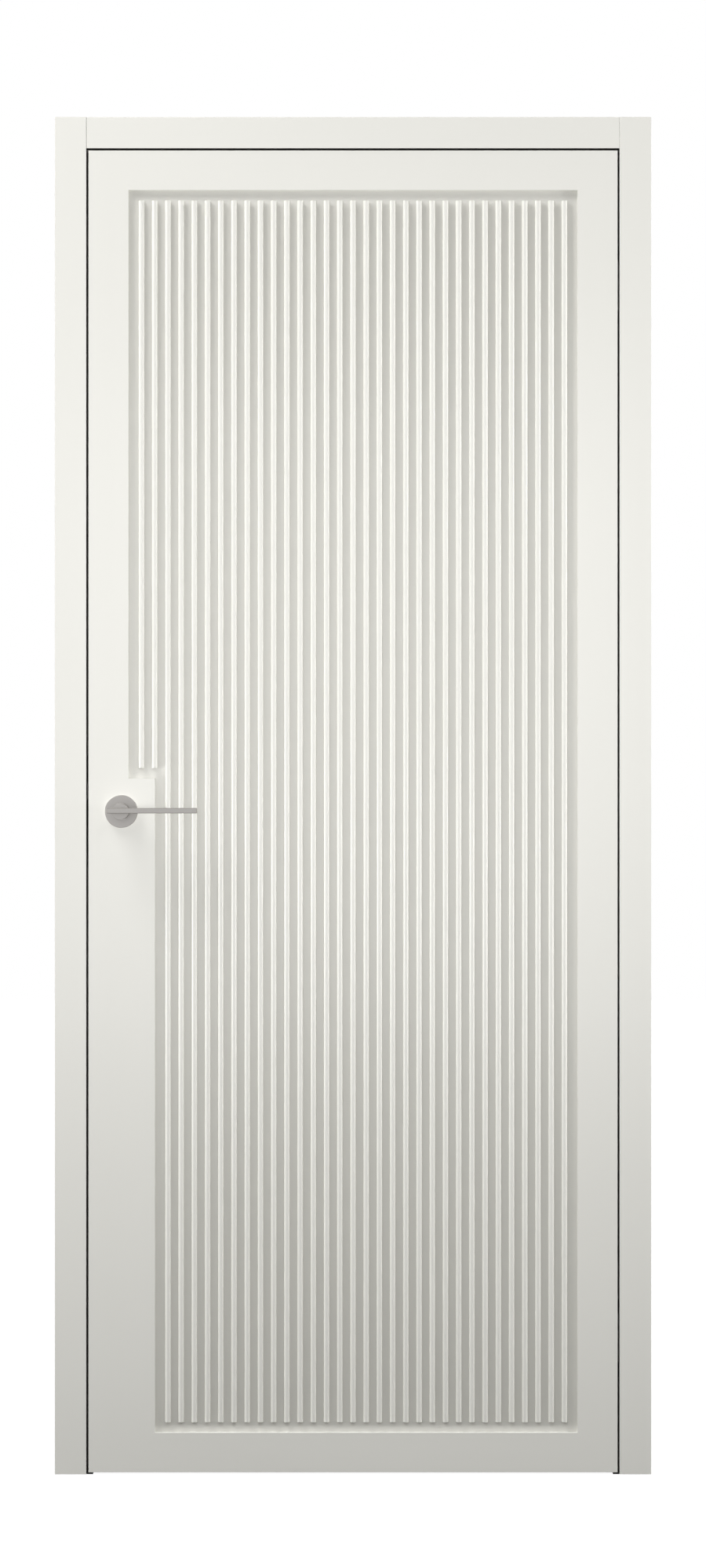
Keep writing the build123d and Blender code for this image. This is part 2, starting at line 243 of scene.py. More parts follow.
def linear(code):
    """Turn an sRGB hex code into linear red, green and blue with full alpha."""
    values = [int(code[i : i + 2], 16) / 255 for i in (1, 3, 5)]
    values = [v / 12.92 if v <= 0.04045 else ((v + 0.055) / 1.055) ** 2.4 for v in values]
    return (*values, 1.0)


def shade(code, factor):
    """A linear colour made lighter or darker by a factor."""
    return (*(min(v * factor, 1.0) for v in linear(code)[:3]), 1.0)


def add_node(tree, kind, inputs=None, **settings):
    """Add one node with its settings, and set or link its inputs, several links from a list."""
    made = tree.nodes.new(kind)
    for key, value in settings.items():
        setattr(made, key, value)
    for key, value in (inputs or {}).items():
        for part in value if isinstance(value, list) else [value]:
            if isinstance(part, bpy.types.NodeSocket):
                tree.links.new(part, made.inputs[key])
            else:
                made.inputs[key].default_value = part
    return made


def empty_tree(owner):
    """The node tree of a material or a world, emptied."""
    owner.use_nodes = True
    owner.node_tree.nodes.clear()
    return owner.node_tree


def shared(name, maker, **values):
    """A finish made once and shared by every piece that has it."""
    return bpy.data.materials.get(name) or maker(name, **values)


def new_material(name):
    """An empty material and the tree, shader and object coordinates to build it with."""
    material = bpy.data.materials.new(name)
    tree = empty_tree(material)
    shader = add_node(tree, "ShaderNodeBsdfPrincipled")
    add_node(tree, "ShaderNodeOutputMaterial", {"Surface": shader.outputs["BSDF"]})
    place = add_node(tree, "ShaderNodeTexCoord").outputs["Object"]
    return material, tree, shader, place


def vary(tree, shader, code, tint, gloss, relief):
    """Let noise patterns vary a finish's tint, roughness and relief, each between two values."""
    pattern, darker, lighter = tint
    mixed = add_node(
        tree,
        "ShaderNodeMix",
        {"Factor": pattern.outputs["Fac"], 6: shade(code, darker), 7: shade(code, lighter)},
        data_type="RGBA",
    )
    tree.links.new(mixed.outputs[2], shader.inputs["Base Color"])
    pattern, low, high = gloss
    ranged = add_node(
        tree,
        "ShaderNodeMapRange",
        {"Value": pattern.outputs["Fac"], "To Min": low, "To Max": high},
    )
    tree.links.new(ranged.outputs["Result"], shader.inputs["Roughness"])
    pattern, strength, height = relief
    bump = add_node(
        tree,
        "ShaderNodeBump",
        {"Strength": strength, "Distance": height, "Height": pattern.outputs["Fac"]},
    )
    tree.links.new(bump.outputs["Normal"], shader.inputs["Normal"])


def sprayed(name):
    """Sprayed lacquer, whose tint, gloss and peel follow three patterns of their own size."""
    code = bpy.context.scene.door_colours.lacquer
    material, tree, shader, place = new_material(name)
    # Tint wanders over about 300 mm, and gloss over about 40 mm where the spray lay thicker.
    # Orange peel is drawn at 4 mm, because the real 1 mm is too fine to show
    cloud, mist, peel = (
        add_node(
            tree, "ShaderNodeTexNoise", {"Vector": place, "Scale": 1 / span, "Detail": detail}
        )
        for span, detail in ((300 * MM, 3.0), (40 * MM, 2.0), (4 * MM, 1.0))
    )
    tint, gloss, relief = (cloud, 0.988, 1.012), (mist, 0.27, 0.33), (peel, 0.02, 0.4 * MM)
    vary(tree, shader, code, tint, gloss, relief)
    return material


def grained(name, colour, grain, detail, tint, gloss, relief, metallic=0.0, stretch=None):
    """A finish whose tint, gloss and relief follow one grain of a real size in millimetres."""
    code = getattr(bpy.context.scene.door_colours, colour)
    material, tree, shader, place = new_material(name)
    shader.inputs["Metallic"].default_value = metallic
    if stretch:
        # Brush lines are centred on the handle's axis and drawn long along the stroke
        centre = (-HANDLE_X * stretch[0], 0.0, -HANDLE_Z * stretch[2])
        centred = add_node(
            tree, "ShaderNodeMapping", {"Vector": place, "Location": centre, "Scale": stretch}
        )
        place = centred.outputs["Vector"]
    pattern = add_node(
        tree, "ShaderNodeTexNoise", {"Vector": place, "Scale": 1 / (grain * MM), "Detail": detail}
    )
    strength, height = relief
    relief = (pattern, strength, height * MM)
    vary(tree, shader, code, (pattern, *tint), (pattern, *gloss), relief)
    return material


def lacquer():
    """Satin lacquer on fibreboard: an even off-white with a soft sheen and a faint peel."""
    return shared("satin_lacquer_on_fibreboard", sprayed)


def rubber():
    """Extruded black elastomer: matt and nearly black, with a fine grain."""
    return shared(
        "extruded_black_elastomer",
        grained,
        colour="seal",
        grain=1.5,
        detail=3.0,
        tint=(0.8, 1.3),
        gloss=(0.62, 0.78),
        relief=(0.2, 0.2),
    )


def gap_painted_shade():
    """Painted shade: matt black with a fine stipple on the casings' inner edges, which makes the
    gap a crisp dark line.
    """
    return shared(
        "rolled_black_edge_paint",
        grained,
        colour="gap",
        grain=0.8,
        detail=2.0,
        tint=(0.85, 1.2),
        gloss=(0.55, 0.7),
        relief=(0.1, 0.1),
    )


def zinc():
    """Die-cast zinc alloy, satin coated: grey metal with a faint cast grain."""
    return shared(
        "satin_coated_cast_zinc",
        grained,
        colour="zinc",
        grain=1.2,
        detail=4.0,
        tint=(0.9, 1.06),
        gloss=(0.36, 0.5),
        relief=(0.15, 0.1),
        metallic=1.0,
    )


def brushed_nickel(name, colour, stretch):
    """Satin nickel plate: soft grey metal with fine brush lines about 0.4 mm apart."""
    return shared(
        name,
        grained,
        colour=colour,
        grain=0.4,
        detail=2.0,
        tint=(0.94, 1.05),
        gloss=(0.34, 0.46),
        relief=(0.08, 0.1),
        metallic=1.0,
        stretch=stretch,
    )


def nickel_plate():
    """Nickel brushed evenly, for roses, necks and plates."""
    return brushed_nickel("satin_nickel_plate", "nickel", (1, 1, 1))


def nickel_bar():
    """Nickel brushed along the lever, so its lines run with X."""
    return brushed_nickel("satin_nickel_bar", "nickel", (0.03, 1, 1))


def nickel_edge():
    """Painted shade: the nickel a shade darker, which draws a fine dark line round each form's
    edges.
    """
    return brushed_nickel("rubbed_nickel_edge", "nickel_edge", (1, 1, 1))


def show_piece(name, mesh, material, body, slot, *nodes):
    """Put a finished mesh in the scene as a piece of one body that stands for its nodes."""
    mesh.name = name
    if not mesh.materials:
        mesh.materials.append(material)
    piece = bpy.data.objects.new(name, mesh)
    bpy.context.scene.collection.objects.link(piece)
    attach(piece, body)
    if nodes:
        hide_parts(*nodes)
    return piece


def soften(piece, width, segments=3, finish=None):
    """Round a piece's sharp edges by a small bevel, which may have a finish of its own."""
    bevel = piece.modifiers.new("softened edges", "BEVEL")
    if finish:
        piece.data.materials.append(finish)
        bevel.material = len(piece.data.materials) - 1
    bevel.width = width
    bevel.segments = segments
    bevel.limit_method = "ANGLE"
    bevel.angle_limit = BEVEL_ANGLE
    bevel.harden_normals = True
    return bevel


def dress_node(name, material):
    """Give a node that stays as it is its finish."""
    for held in frame["nodes"][name].material_slots:
        held.material = material


def close_mesh(shape, name="board"):
    """Turn a bmesh into a smooth-shaded mesh."""
    mesh = bpy.data.meshes.new(name)
    shape.to_mesh(mesh)
    shape.free()
    mesh.shade_smooth()
    return mesh


def board_mesh(low, high):
    """A plain board between two corners, faces outwards, shaded smooth for its softened edges."""
    shape = bmesh.new()
    corners = [
        shape.verts.new((x, y, z))
        for x in (low.x, high.x)
        for y in (low.y, high.y)
        for z in (low.z, high.z)
    ]
    sides = ((0, 1, 3, 2), (4, 6, 7, 5), (0, 4, 5, 1), (2, 3, 7, 6), (0, 2, 6, 4), (1, 5, 7, 3))
    for picks in sides:
        shape.faces.new([corners[i] for i in picks])
    bmesh.ops.recalc_face_normals(shape, faces=shape.faces)
    return close_mesh(shape)


def outward(mesh):
    """Merge a mesh's doubles, turn its faces outwards and keep its edges sharp past an angle."""
    if "custom_normal" in mesh.attributes:
        mesh.attributes.remove(mesh.attributes["custom_normal"])
    shape = bmesh.new()
    shape.from_mesh(mesh)
    bmesh.ops.remove_doubles(shape, verts=shape.verts, dist=MERGE_SPAN)
    bmesh.ops.recalc_face_normals(shape, faces=shape.faces)
    shape.to_mesh(mesh)
    shape.free()
    mesh.shade_smooth()
    mesh.set_sharp_from_angle(angle=SHARP_ANGLE)
    return mesh


def milled_board(cols, rows, milled, face_y, floor_y, back_y):
    """A board on a grid of columns and rows, where the cells that milled() names are sunk."""
    shape = bmesh.new()
    made = {}

    def corner(x, y, z):
        key = tuple(round(value, CORNER_DIGITS) for value in (x, y, z))
        if key not in made:
            made[key] = shape.verts.new((x, y, z))
        return made[key]

    def quad(points):
        shape.faces.new([corner(*p) for p in points])

    def level(i, j):
        inside = 0 <= i < len(cols) - 1 and 0 <= j < len(rows) - 1
        if not inside:
            return back_y
        return floor_y if milled(i, j) else face_y

    for i in range(len(cols) - 1):
        for j in range(len(rows) - 1):
            x0, x1, z0, z1 = cols[i], cols[i + 1], rows[j], rows[j + 1]
            for y in (level(i, j), back_y):
                quad(((x0, y, z0), (x1, y, z0), (x1, y, z1), (x0, y, z1)))
    # Walls stand where two neighbouring cells differ in level
    for i in range(len(cols)):
        for j in range(len(rows) - 1):
            a, b = level(i - 1, j), level(i, j)
            if a != b:
                x, z0, z1 = cols[i], rows[j], rows[j + 1]
                quad(((x, a, z0), (x, b, z0), (x, b, z1), (x, a, z1)))
    for j in range(len(rows)):
        for i in range(len(cols) - 1):
            a, b = level(i, j - 1), level(i, j)
            if a != b:
                z, x0, x1 = rows[j], cols[i], cols[i + 1]
                quad(((x0, a, z), (x1, a, z), (x1, b, z), (x0, b, z)))
    bmesh.ops.recalc_face_normals(shape, faces=shape.faces)
    return close_mesh(shape)


def new_tree(name, inputs):
    """A Geometry Nodes tree with a geometry in and out and named inputs."""
    tree = bpy.data.node_groups.new(name, "GeometryNodeTree")
    tree.interface.new_socket("Geometry", in_out="INPUT", socket_type="NodeSocketGeometry")
    for label, kind in inputs.items():
        tree.interface.new_socket(label, in_out="INPUT", socket_type="NodeSocket" + kind)
    tree.interface.new_socket("Geometry", in_out="OUTPUT", socket_type="NodeSocketGeometry")
    return tree, tree.nodes.new("NodeGroupInput").outputs


def end_tree(tree, geometry, finish):
    """Give a tree's result its finish and hand it out."""
    finished = add_node(
        tree, "GeometryNodeSetMaterial", {"Geometry": geometry, "Material": finish}
    )
    add_node(tree, "NodeGroupOutput", {"Geometry": finished.outputs["Geometry"]})
    return tree


def run_tree(mesh, tree, values):
    """Run a tree on a mesh with the given inputs and return the result as a plain mesh."""
    carrier = bpy.data.objects.new("carrier", mesh)
    bpy.context.scene.collection.objects.link(carrier)
    modifier = carrier.modifiers.new("nodes", "NODES")
    modifier.node_group = tree
    for item in tree.interface.items_tree:
        if item.in_out == "INPUT" and item.name in values:
            modifier[item.identifier] = values[item.name]
    graph = bpy.context.evaluated_depsgraph_get()
    result = bpy.data.meshes.new_from_object(carrier.evaluated_get(graph))
    carrier.modifiers.remove(modifier)
    bpy.data.objects.remove(carrier)
    if not result.polygons:
        raise RuntimeError(tree.name + " made no surface")
    # Keep only the finishes that the faces use
    picks = [face.material_index for face in result.polygons]
    used = sorted(set(picks))
    finishes = [result.materials[i] for i in used]
    result.materials.clear()
    for finish in finishes:
        result.materials.append(finish)
    for face, pick in zip(result.polygons, picks):
        face.material_index = used.index(pick)
    return result


def rib_tree():
    """Ribs in a row: a rounded profile drawn up to a length, repeated along X, on the board."""
    tree, given = new_tree(
        "ribs in a row",
        {
            "Count": "Int",
            "Pitch": "Float",
            "Width": "Float",
            "Depth": "Float",
            "Rounding": "Float",
            "Length": "Float",
            "Outward": "Float",
            "First Rib": "Vector",
            "Finish": "Material",
        },
    )
    outline = add_node(
        tree,
        "GeometryNodeCurvePrimitiveQuadrilateral",
        {"Width": given["Width"], "Height": given["Depth"]},
        mode="RECTANGLE",
    )
    # Only the two corners on the show side are rounded
    place = add_node(tree, "GeometryNodeInputPosition")
    parts = add_node(tree, "ShaderNodeSeparateXYZ", {"Vector": place.outputs["Position"]})
    toward = add_node(
        tree, "ShaderNodeMath", {0: parts.outputs["Y"], 1: given["Outward"]}, operation="MULTIPLY"
    )
    show = add_node(
        tree, "ShaderNodeMath", {0: toward.outputs[0], 1: 0.0}, operation="GREATER_THAN"
    )
    radius = add_node(
        tree, "ShaderNodeMath", {0: show.outputs[0], 1: given["Rounding"]}, operation="MULTIPLY"
    )
    rounded = add_node(
        tree,
        "GeometryNodeFilletCurve",
        {
            "Curve": outline.outputs["Curve"],
            "Count": CROWN_POINTS,
            "Radius": radius.outputs[0],
        },
        mode="POLY",
    )
    reach = add_node(tree, "ShaderNodeCombineXYZ", {"Z": given["Length"]})
    line = add_node(tree, "GeometryNodeCurvePrimitiveLine", {"End": reach.outputs[0]})
    rib = add_node(
        tree,
        "GeometryNodeCurveToMesh",
        {
            "Curve": line.outputs["Curve"],
            "Profile Curve": rounded.outputs["Curve"],
            "Fill Caps": True,
        },
    )
    stride = add_node(tree, "ShaderNodeCombineXYZ", {"X": given["Pitch"]})
    row = add_node(
        tree,
        "GeometryNodeMeshLine",
        {
            "Count": given["Count"],
            "Start Location": given["First Rib"],
            "Offset": stride.outputs[0],
        },
        mode="OFFSET",
    )
    ribs = add_node(
        tree,
        "GeometryNodeInstanceOnPoints",
        {"Points": row.outputs["Mesh"], "Instance": rib.outputs["Mesh"]},
    )
    real = add_node(tree, "GeometryNodeRealizeInstances", {"Geometry": ribs.outputs["Instances"]})
    joined = add_node(
        tree,
        "GeometryNodeJoinGeometry",
        {"Geometry": [given["Geometry"], real.outputs["Geometry"]]},
    )
    return end_tree(tree, joined.outputs["Geometry"], given["Finish"])


def pocket_tree():
    """A pocket for a fitting: its hull, set a little proud of the board, is cut out of it."""
    tree, given = new_tree(
        "pocket for a fitting", {"Fitting": "Object", "Proud": "Vector", "Finish": "Material"}
    )
    fitting = add_node(
        tree,
        "GeometryNodeObjectInfo",
        {"Object": given["Fitting"]},
        transform_space="ORIGINAL",
    )
    hull = add_node(tree, "GeometryNodeConvexHull", {"Geometry": fitting.outputs["Geometry"]})
    cutter = add_node(
        tree,
        "GeometryNodeTransform",
        {"Geometry": hull.outputs["Convex Hull"], "Translation": given["Proud"]},
    )
    board = add_node(
        tree,
        "GeometryNodeMeshBoolean",
        {"Mesh 1": given["Geometry"], "Mesh 2": cutter.outputs["Geometry"]},
        operation="DIFFERENCE",
        solver="EXACT",
    )
    real = add_node(tree, "GeometryNodeRealizeInstances", {"Geometry": board.outputs["Mesh"]})
    return end_tree(tree, real.outputs["Geometry"], given["Finish"])


def let_in(mesh, tree, node, facing):
    """Cut the pocket that a fitting sits in out of a board's mesh."""
    values = {
        "Fitting": frame["nodes"][node],
        "Proud": (facing * POCKET_PROUD, 0.0, 0.0),
        "Finish": lacquer(),
    }
    return run_tree(mesh, tree, values)


def screw_tree():
    """Screws in a plate: countersinks in a line along Z, each with a flush cross-recessed head."""
    tree, given = new_tree(
        "screws in a plate",
        {
            "Count": "Int",
            "First Screw": "Vector",
            "Stride": "Vector",
            "Radius": "Float",
            "Sink": "Float",
            "Facing": "Float",
            "Plate Finish": "Material",
            "Screw Finish": "Material",
        },
    )
    foot, long_side, short_side, cutter_z, head_z, turned = (
        add_node(
            tree, "ShaderNodeMath", {0: given[size], 1: share}, operation="MULTIPLY"
        ).outputs[0]
        for size, share in (
            ("Radius", SCREW_FOOT),
            ("Radius", CROSS_LENGTH),
            ("Radius", CROSS_WIDTH),
            ("Sink", CUTTER_DEPTH),
            ("Sink", HEAD_DEPTH),
            ("Facing", math.pi / 2),
        )
    )
    seat = add_node(
        tree,
        "GeometryNodeMeshCone",
        {
            "Vertices": SCREW_SIDES,
            "Radius Top": given["Radius"],
            "Radius Bottom": foot,
            "Depth": given["Sink"],
        },
    )
    # The cutter stands a little proud of the plate's face, and the head lies just under it
    placed = []
    for z, fit in ((cutter_z, 1.0), (head_z, HEAD_FIT)):
        down = add_node(tree, "ShaderNodeCombineXYZ", {"Z": z})
        moved = add_node(
            tree,
            "GeometryNodeTransform",
            {
                "Geometry": seat.outputs["Mesh"],
                "Translation": down.outputs[0],
                "Scale": (fit, fit, fit),
            },
        )
        placed.append(moved.outputs["Geometry"])
    cutter, head = placed
    blades = []
    for x, y in ((long_side, short_side), (short_side, long_side)):
        size = add_node(tree, "ShaderNodeCombineXYZ", {"X": x, "Y": y, "Z": given["Sink"]})
        blade = add_node(tree, "GeometryNodeMeshCube", {"Size": size.outputs[0]})
        blades.append(blade.outputs["Mesh"])
    # The blades overlap, so each is linked to the cut by itself
    screw = add_node(
        tree,
        "GeometryNodeMeshBoolean",
        {"Mesh 1": head, "Mesh 2": blades},
        operation="DIFFERENCE",
        solver="EXACT",
    )
    line = add_node(
        tree,
        "GeometryNodeMeshLine",
        {
            "Count": given["Count"],
            "Start Location": given["First Screw"],
            "Offset": given["Stride"],
        },
        mode="OFFSET",
    )
    turn = add_node(tree, "ShaderNodeCombineXYZ", {"Y": turned})
    real = []
    for shape in (cutter, screw.outputs["Mesh"]):
        spread = add_node(
            tree,
            "GeometryNodeInstanceOnPoints",
            {"Points": line.outputs["Mesh"], "Instance": shape, "Rotation": turn.outputs[0]},
        )
        made = add_node(
            tree, "GeometryNodeRealizeInstances", {"Geometry": spread.outputs["Instances"]}
        )
        real.append(made.outputs["Geometry"])
    sunk = add_node(
        tree,
        "GeometryNodeMeshBoolean",
        {"Mesh 1": given["Geometry"], "Mesh 2": real[0]},
        operation="DIFFERENCE",
        solver="EXACT",
    )
    finished = []
    for shape, finish in ((sunk.outputs["Mesh"], "Plate Finish"), (real[1], "Screw Finish")):
        painted = add_node(
            tree, "GeometryNodeSetMaterial", {"Geometry": shape, "Material": given[finish]}
        )
        finished.append(painted.outputs["Geometry"])
    joined = add_node(tree, "GeometryNodeJoinGeometry", {"Geometry": finished})
    add_node(tree, "NodeGroupOutput", {"Geometry": joined.outputs["Geometry"]})
    return tree


def seal_tree():
    """A seal swept along a path: a flat foot on the stop and a soft bulb towards the leaf."""
    tree, given = new_tree(
        "seal along the frame",
        {"Width": "Float", "Depth": "Float", "Bend": "Float", "Finish": "Material"},
    )
    path = add_node(tree, "GeometryNodeMeshToCurve", {"Mesh": given["Geometry"]})
    bent = add_node(
        tree,
        "GeometryNodeFilletCurve",
        {"Curve": path.outputs["Curve"], "Count": SEAL_POINTS, "Radius": given["Bend"]},
        mode="POLY",
    )
    parts = []
    for wide, deep, back, corner in SEAL_PARTS:
        width, depth, shift, radius = (
            add_node(
                tree, "ShaderNodeMath", {0: given[size], 1: share}, operation="MULTIPLY"
            ).outputs[0]
            for size, share in (
                ("Width", wide),
                ("Depth", deep),
                ("Depth", back),
                ("Depth", corner * deep),
            )
        )
        outline = add_node(
            tree,
            "GeometryNodeCurvePrimitiveQuadrilateral",
            {"Width": width, "Height": depth},
            mode="RECTANGLE",
        )
        rounded = add_node(
            tree,
            "GeometryNodeFilletCurve",
            {"Curve": outline.outputs["Curve"], "Count": SEAL_POINTS, "Radius": radius},
            mode="POLY",
        )
        move = add_node(tree, "ShaderNodeCombineXYZ", {"Y": shift})
        placed = add_node(
            tree,
            "GeometryNodeTransform",
            {"Geometry": rounded.outputs["Curve"], "Translation": move.outputs[0]},
        )
        swept = add_node(
            tree,
            "GeometryNodeCurveToMesh",
            {
                "Curve": bent.outputs["Curve"],
                "Profile Curve": placed.outputs["Geometry"],
                "Fill Caps": True,
            },
        )
        parts.append(swept.outputs["Mesh"])
    joined = add_node(tree, "GeometryNodeJoinGeometry", {"Geometry": parts})
    real = add_node(tree, "GeometryNodeRealizeInstances", {"Geometry": joined.outputs["Geometry"]})
    return end_tree(tree, real.outputs["Geometry"], given["Finish"])


def lathe_mesh(profile, turns):
    """Spin a closed profile of radius and Y about the handle's axis."""
    shape = bmesh.new()
    angles = [2 * math.pi * k / turns for k in range(turns)]
    rings = [
        [
            shape.verts.new((HANDLE_X + radius * math.cos(a), y, HANDLE_Z + radius * math.sin(a)))
            for a in angles
        ]
        for radius, y in profile
    ]
    for near, far in zip(rings, rings[1:] + rings[:1]):
        for k in range(turns):
            after = (k + 1) % turns
            shape.faces.new((near[k], near[after], far[after], far[k]))
    bmesh.ops.recalc_face_normals(shape, faces=shape.faces)
    return close_mesh(shape)


def rounded_corner(radius_at, y_at, size, facing):
    """Points round the outer front corner of a turned piece, from its side to its face."""
    points = []
    for k in range(RIM_STEPS + 1):
        angle = math.pi / 2 * k / RIM_STEPS
        radius = radius_at - size + size * math.cos(angle)
        points.append((radius, y_at - facing * (size - size * math.sin(angle))))
    return points


def turned_mesh(node, bore, edge, facing, turns):
    """A rose or neck turned about the handle's axis, its outer rim rounded and given painted
    shade, a darker nickel.
    """
    low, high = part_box(node)
    start_y, end_y = (high.y, low.y) if facing < 0 else (low.y, high.y)
    radius = (high.x - low.x) / 2
    rim = rounded_corner(radius, end_y, edge, facing)
    mesh = lathe_mesh([(bore, start_y), (radius, start_y), *rim, (bore, end_y)], turns)
    mesh.set_sharp_from_angle(angle=SHARP_ANGLE)
    mesh.materials.append(nickel_plate())
    mesh.materials.append(nickel_edge())
    # The rim's sloped faces take the darker nickel: painted shade that draws a dark line round the
    # rose and neck
    for side in mesh.polygons:
        if RIM_SLOPE[0] < abs(side.normal.y) < RIM_SLOPE[1]:
            side.material_index = 1
    return mesh


class DOOR_OT_leaf_panels(bpy.types.Operator):
    """Make the milled front and back of the leaf, with their ribs"""

    bl_idname = "door.leaf_panels"
    bl_label = "Leaf panels"

    def execute(self, context):
        panel = context.scene.door_panel
        tree = rib_tree()
        pockets = pocket_tree()
        left = SKIN_LOW.x + panel.stile
        right = SKIN_HIGH.x - panel.stile
        bottom = SKIN_LOW.z + panel.rail
        top = SKIN_HIGH.z - panel.rail
        step_x = left + panel.short_ribs * panel.rib_pitch
        step_z = HANDLE_Z + panel.step_rise
        cols = (SKIN_LOW.x, left, step_x, right, SKIN_HIGH.x)
        rows = (SKIN_LOW.z, bottom, step_z, top, SKIN_HIGH.z)

        # The recess fills the middle column, and the narrow one beside it above the step
        def milled(i, j):
            return (j in (1, 2) and i == 2) or (j == 2 and i == 1)

        sides = (
            ("front", SKIN_LOW.y, 1, SKIN_HIGH.y),
            ("back", BACK_HIGH.y, -1, BACK_LOW.y),
        )
        for face, face_y, inward, back_y in sides:
            floor_y = face_y + inward * panel.depth
            mesh = milled_board(cols, rows, milled, face_y, floor_y, back_y)
            mesh = let_in(mesh, pockets, "lock_forend", -1)
            if face == "back":
                for place in HINGE_PLACES:
                    mesh = let_in(mesh, pockets, "hinge_case_leaf_" + place, 1)
            middle_y = face_y + inward * (panel.depth + panel.rib_root) / 2
            for number, start_x, start_z in self.rib_rows(panel, left, right, bottom, step_z):
                values = {
                    "Count": number,
                    "Pitch": panel.rib_pitch,
                    "Width": panel.rib_width,
                    "Depth": panel.depth + panel.rib_root,
                    "Outward": -inward,
                    "Rounding": panel.rib_round,
                    "Length": top - panel.rib_end_margin - start_z,
                    "First Rib": (start_x, middle_y, start_z),
                    "Finish": lacquer(),
                }
                mesh = run_tree(mesh, tree, values)
            mesh = outward(mesh)
            name, node = "leaf_panel_" + face, "leaf_" + face + "_skin"
            piece = show_piece(name, mesh, lacquer(), "leaf", "leaf_paint", node)
            soften(piece, panel.arris, 2)
        for name in ("hinge_stile", "lock_stile", "top_rail", "bottom_rail", "core"):
            dress_node("leaf_" + name, lacquer())
        return {"FINISHED"}

    def rib_rows(self, panel, left, right, bottom, step_z):
        """The short ribs above the step, then the full ones: how many, first X and lowest Z."""
        room = right - left - 2 * panel.rib_side_margin - panel.rib_width
        count = int(room / panel.rib_pitch + RIB_SLACK) + 1
        first_x = (left + right) / 2 - (count - 1) / 2 * panel.rib_pitch
        full_x = first_x + panel.short_ribs * panel.rib_pitch
        return (
            (panel.short_ribs, first_x, step_z + panel.rib_end_margin),
            (count - panel.short_ribs, full_x, bottom + panel.rib_end_margin),
        )


class DOOR_OT_casings(bpy.types.Operator):
    """Make the flat casing boards on both faces of the wall"""

    bl_idname = "door.casings"
    bl_label = "Casings"

    def execute(self, context):
        sizes = context.scene.door_boards
        for face in ("front", "back"):
            low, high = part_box("head_casing_" + face)
            for board in ("hinge", "latch", "head"):
                node = board + "_casing_" + face
                mesh = board_mesh(*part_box(node))
                if node == "latch_casing_front":
                    mesh = outward(let_in(mesh, pocket_tree(), "strike_plate", 1))
                piece = show_piece(node + "_board", mesh, lacquer(), "frame", "frame_paint", node)
                soften(piece, sizes.joint_arris).limit_method = "WEIGHT"
                share = sizes.casing_arris / sizes.joint_arris
                self.weigh_edges(mesh, (low.x, high.x), share)
                # The front casings' inner edges get black, painted shade for the gap round the
                # leaf
                if face == "front":
                    self.paint_gap_shade(mesh, board)
        return {"FINISHED"}

    def weigh_edges(self, mesh, joints, share):
        """Ease the edges at the head casing's joints in full, and the others by a share of it."""
        weights = mesh.attributes.new("bevel_weight_edge", "FLOAT", "EDGE")
        for edge in mesh.edges:
            ends = [mesh.vertices[i].co.x for i in edge.vertices]
            at_joint = all(min(abs(x - joint) for joint in joints) < JOINT_SPAN for x in ends)
            weights.data[edge.index].value = 1.0 if at_joint else share

    def paint_gap_shade(self, mesh, board):
        """Give the edge that faces the leaf black, painted shade that darkens the gap round the
        leaf.
        """
        towards = {
            "hinge": Vector((-1, 0, 0)),
            "latch": Vector((1, 0, 0)),
            "head": Vector((0, 0, -1)),
        }[board]
        mesh.materials.append(gap_painted_shade())
        for side in mesh.polygons:
            if side.normal.dot(towards) > STRAIGHT:
                side.material_index = len(mesh.materials) - 1


class DOOR_OT_lining(bpy.types.Operator):
    """Finish the jambs and make the stops behind the leaf"""

    bl_idname = "door.lining"
    bl_label = "Lining"

    def execute(self, context):
        arris = context.scene.door_boards.lining_arris
        for name in ("hinge", "latch", "head"):
            dress_node(name + "_jamb", lacquer())
            node = name + "_stop"
            mesh = board_mesh(*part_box(node))
            piece = show_piece(node + "_board", mesh, lacquer(), "frame", "frame_paint", node)
            soften(piece, arris)
        return {"FINISHED"}


class DOOR_OT_seals(bpy.types.Operator):
    """Make the rubber seal that runs up one jamb, across the head and down the other"""

    bl_idname = "door.seals"
    bl_label = "Seals"

    def execute(self, context):
        sizes = context.scene.door_boards
        hinge_low, hinge_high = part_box("hinge_seal")
        latch_low, latch_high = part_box("latch_seal")
        head_low, head_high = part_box("head_seal")
        y = (hinge_low.y + hinge_high.y) / 2
        hinge_x = (hinge_low.x + hinge_high.x) / 2
        latch_x = (latch_low.x + latch_high.x) / 2
        head_z = (head_low.z + head_high.z) / 2
        corners = (
            (hinge_x, y, hinge_low.z),
            (hinge_x, y, head_z),
            (latch_x, y, head_z),
            (latch_x, y, latch_low.z),
        )
        path = bpy.data.meshes.new("seal_path")
        path.from_pydata(corners, [(0, 1), (1, 2), (2, 3)], [])
        values = {
            "Width": hinge_high.x - hinge_low.x,
            "Depth": hinge_high.y - hinge_low.y,
            "Bend": sizes.seal_bend,
            "Finish": rubber(),
        }
        mesh = outward(run_tree(path, seal_tree(), values))
        # Low feet run forward from the seal's ends and show as black corners under the leaf
        shape = bmesh.new()
        shape.from_mesh(mesh)
        for low, high in ((hinge_low, hinge_high), (latch_low, latch_high)):
            front = Vector((low.x, SKIN_LOW.y + sizes.seal_foot_inset, low.z))
            shape.from_mesh(board_mesh(front, Vector((high.x, high.y, sizes.seal_foot))))
        shape.to_mesh(mesh)
        shape.free()
        mesh.set_sharp_from_angle(angle=SHARP_ANGLE)
        nodes = ("hinge_seal", "latch_seal", "head_seal")
        show_piece("door_seal", mesh, rubber(), "frame", "seal_rubber", *nodes)
        return {"FINISHED"}


